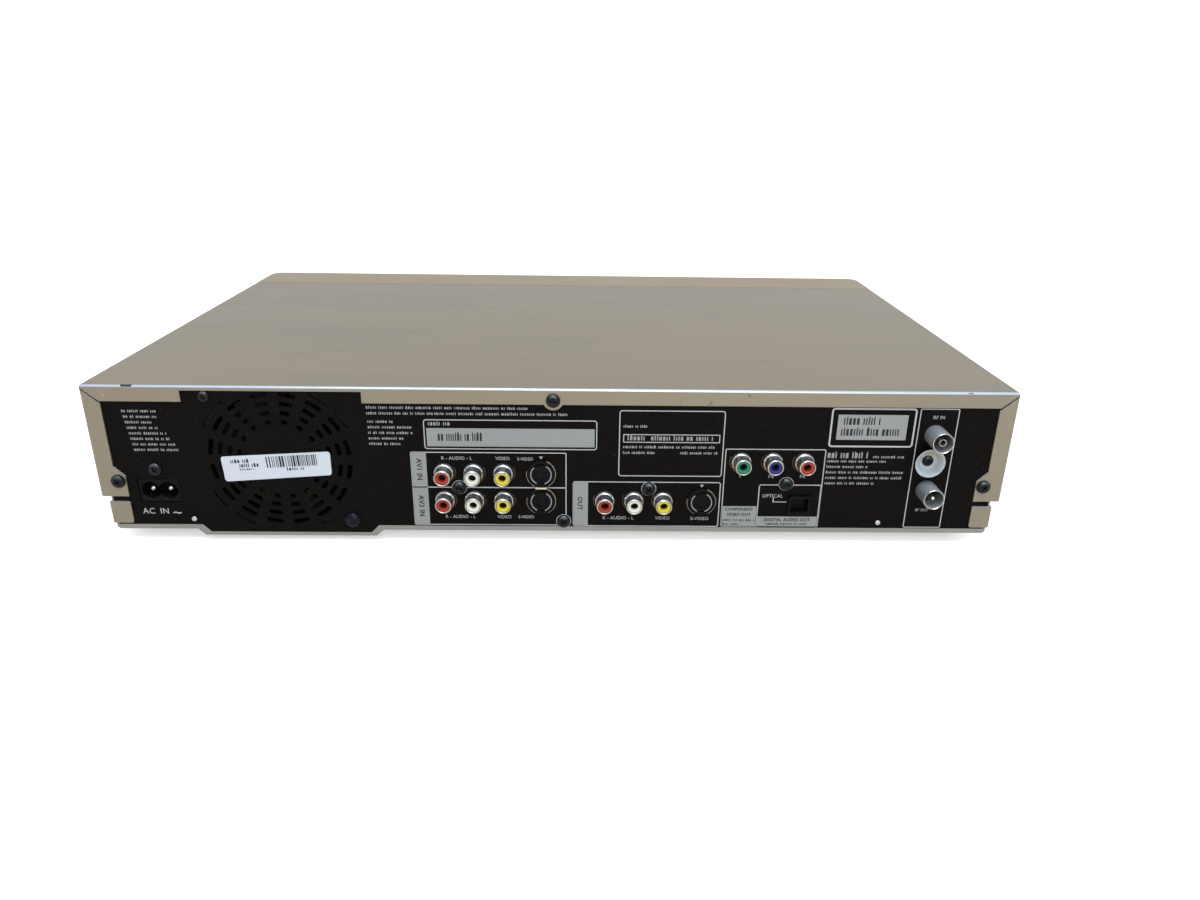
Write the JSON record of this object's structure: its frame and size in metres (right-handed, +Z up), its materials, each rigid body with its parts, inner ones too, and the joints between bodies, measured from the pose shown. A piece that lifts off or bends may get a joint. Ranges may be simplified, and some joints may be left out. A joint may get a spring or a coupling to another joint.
{
  "type": "dvd hard disk recorder",
  "caption": "Flat disc and hard disk recorder with a folded silver cover, a black rear panel full of sockets, a fan and a sliding disc tray.",
  "frame": {"origin": "on the floor under the middle of the overall box", "axes": "+X to the right seen from the front, +Y from the front to the rear sockets, +Z up"},
  "size_m": [0.43, 0.283, 0.079],
  "materials": {
    "silver_paint": "satin metallic paint",
    "silver_plastic": "satin metallic plastic",
    "black_paint": "satin black paint",
    "zinc_steel": "galvanised",
    "black_plastic": "matt",
    "gloss_black": "glossy",
    "foot_rubber": "matt",
    "black_screw": "black zinc",
    "nickel": "plated",
    "rivet_metal": "satin",
    "white_plastic": "translucent white",
    "red_insert": "moulded",
    "white_insert": "moulded",
    "yellow_insert": "moulded",
    "green_insert": "moulded",
    "blue_insert": "moulded",
    "smoked_window": "smoked acrylic",
    "green_board": "circuit board",
    "brown_board": "paper board",
    "aluminium": "cast",
    "steel": "ground",
    "dark_plastic": "moulded",
    "nylon": "moulded",
    "belt_rubber": "matt",
    "transformer_tape": "tape over ferrite",
    "capacitor_sleeve": "shrunk sleeve",
    "tinplate": "tinned"
  },
  "bodies": {
    "casing": {"ac_inlet": "black_plastic", "ac_pins": "nickel", "aerial_sockets": "nickel", "capacitors": "capacitor_sleeve", "case_screws": "black_screw", "chassis_base": "zinc_steel", "clamp_bridge": "steel", "disk_body": "aluminium", "disk_bracket": "zinc_steel", "disk_lid": "steel", "display_window": "smoked_window", "drive_belt": "belt_rubber", "drive_frame": "dark_plastic", "fan_frame": "black_plastic", "feet": "foot_rubber", "front_boards": "green_board", "front_panel": "silver_plastic", "front_tub": "black_plastic", "heat_sink": "aluminium", "jack_blocks": "black_plastic", "jack_board": "green_board", "loading_motor": "steel", "main_board": "green_board", "optical_socket": "black_plastic", "panel_rivets": "rivet_metal", "phono_inserts_blue": "blue_insert", "phono_inserts_green": "green_insert", "phono_inserts_red": "red_insert", "phono_inserts_white": "white_insert", "phono_inserts_yellow": "yellow_insert", "phono_shells": "nickel", "power_board": "brown_board", "rear_panel": "black_paint", "screw_cup": "white_plastic", "side_skirts": "silver_paint", "svideo_shields": "nickel", "top_cover": "silver_paint", "transformer": "transformer_tape", "tuner_can": "tinplate"},
    "tray": {"disc_tray": "dark_plastic", "tray_fascia": "silver_plastic"},
    "gear": {"tray_gear": "nylon"},
    "pulley": {"motor_pulley": "nylon"},
    "puck": {"clamp_puck": "nylon"},
    "traverse": {"traverse_frame": "steel", "traverse_motors": "steel", "guide_rods": "steel"},
    "table": {"turntable": "dark_plastic"},
    "pickup": {"pickup_sled": "dark_plastic"},
    "screw": {"feed_screw": "steel"},
    "fan": {"fan_rotor": "black_plastic"},
    "platters": {"disk_platters": "aluminium"},
    "head_arm": {"disk_arm": "aluminium"},
    "flap": {"front_flap": "silver_plastic"},
    "shutter": {"optical_shutter": "black_plastic"},
    "key_power": {"button_power": "silver_plastic"},
    "key_open": {"button_open": "silver_plastic"},
    "key_stop": {"button_stop": "silver_plastic"},
    "key_play": {"button_play": "silver_plastic"},
    "key_record": {"button_record": "silver_plastic"}
  },
  "joints": [
    {"name": "tray_slide", "type": "slide", "parent": "casing", "child": "tray", "axis": [0, -1, 0], "range_m": [0, 0.136]},
    {"name": "gear_spin", "type": "hinge", "parent": "casing", "child": "gear", "pos_m": [-0.1452, -0.108, 0.044], "axis": [0, 0, 1], "range_deg": [0, 1115]},
    {"name": "pulley_spin", "type": "hinge", "parent": "casing", "child": "pulley", "pos_m": [-0.1112, -0.108, 0.044], "axis": [0, 0, 1], "range_deg": [0, 4460]},
    {"name": "puck_spin", "type": "hinge", "parent": "casing", "child": "puck", "pos_m": [-0.095, -0.066, 0.058], "axis": [0, 0, 1], "continuous": true},
    {"name": "traverse_lift", "type": "hinge", "parent": "casing", "child": "traverse", "pos_m": [-0.095, 0.04, 0.035], "axis": [1, 0, 0], "range_deg": [0, 4]},
    {"name": "disc_spin", "type": "hinge", "parent": "traverse", "child": "table", "pos_m": [-0.095, -0.066, 0.052], "axis": [0, 0, 1], "continuous": true},
    {"name": "pickup_slide", "type": "slide", "parent": "traverse", "child": "pickup", "axis": [0, 1, 0], "range_m": [0, 0.036]},
    {"name": "screw_spin", "type": "hinge", "parent": "traverse", "child": "screw", "pos_m": [-0.059, -0.02, 0.041], "axis": [0, 1, 0], "range_deg": [0, 3245]},
    {"name": "fan_spin", "type": "hinge", "parent": "casing", "child": "fan", "pos_m": [0.1284, 0.12, 0.04276], "axis": [0, 1, 0], "continuous": true},
    {"name": "platter_spin", "type": "hinge", "parent": "casing", "child": "platters", "pos_m": [0.151, -0.0472, 0.033], "axis": [0, 0, 1], "continuous": true},
    {"name": "arm_swing", "type": "hinge", "parent": "casing", "child": "head_arm", "pos_m": [0.084, -0.0802, 0.033], "axis": [0, 0, 1], "range_deg": [0, 28]},
    {"name": "flap_hinge", "type": "hinge", "parent": "casing", "child": "flap", "pos_m": [0.13, -0.13925, 0.0145], "axis": [1, 0, 0], "range_deg": [0, 90]},
    {"name": "shutter_hinge", "type": "hinge", "parent": "casing", "child": "shutter", "pos_m": [-0.11755, 0.1269, 0.0241], "axis": [-1, 0, 0], "range_deg": [0, 75], "stiffness_Nm_per_rad": 0.0005},
    {"name": "key_power_press", "type": "slide", "parent": "casing", "child": "key_power", "axis": [0, 1, 0], "range_m": [0, 0.0008], "stiffness_N_per_m": 900},
    {"name": "key_open_press", "type": "slide", "parent": "casing", "child": "key_open", "axis": [0, 1, 0], "range_m": [0, 0.0008], "stiffness_N_per_m": 900},
    {"name": "key_stop_press", "type": "slide", "parent": "casing", "child": "key_stop", "axis": [0, 1, 0], "range_m": [0, 0.0008], "stiffness_N_per_m": 900},
    {"name": "key_play_press", "type": "slide", "parent": "casing", "child": "key_play", "axis": [0, 1, 0], "range_m": [0, 0.0008], "stiffness_N_per_m": 900},
    {"name": "key_record_press", "type": "slide", "parent": "casing", "child": "key_record", "axis": [0, 1, 0], "range_m": [0, 0.0008], "stiffness_N_per_m": 900}
  ],
  "couplings": [
    {"joint": "gear_spin", "follows": "tray_slide", "rad_per_m": 142.86},
    {"joint": "pulley_spin", "follows": "tray_slide", "rad_per_m": 571.43},
    {"joint": "screw_spin", "follows": "pickup_slide", "rad_per_m": 1570.8},
    {"joint": "puck_spin", "follows": "disc_spin", "ratio": 1}
  ]
}
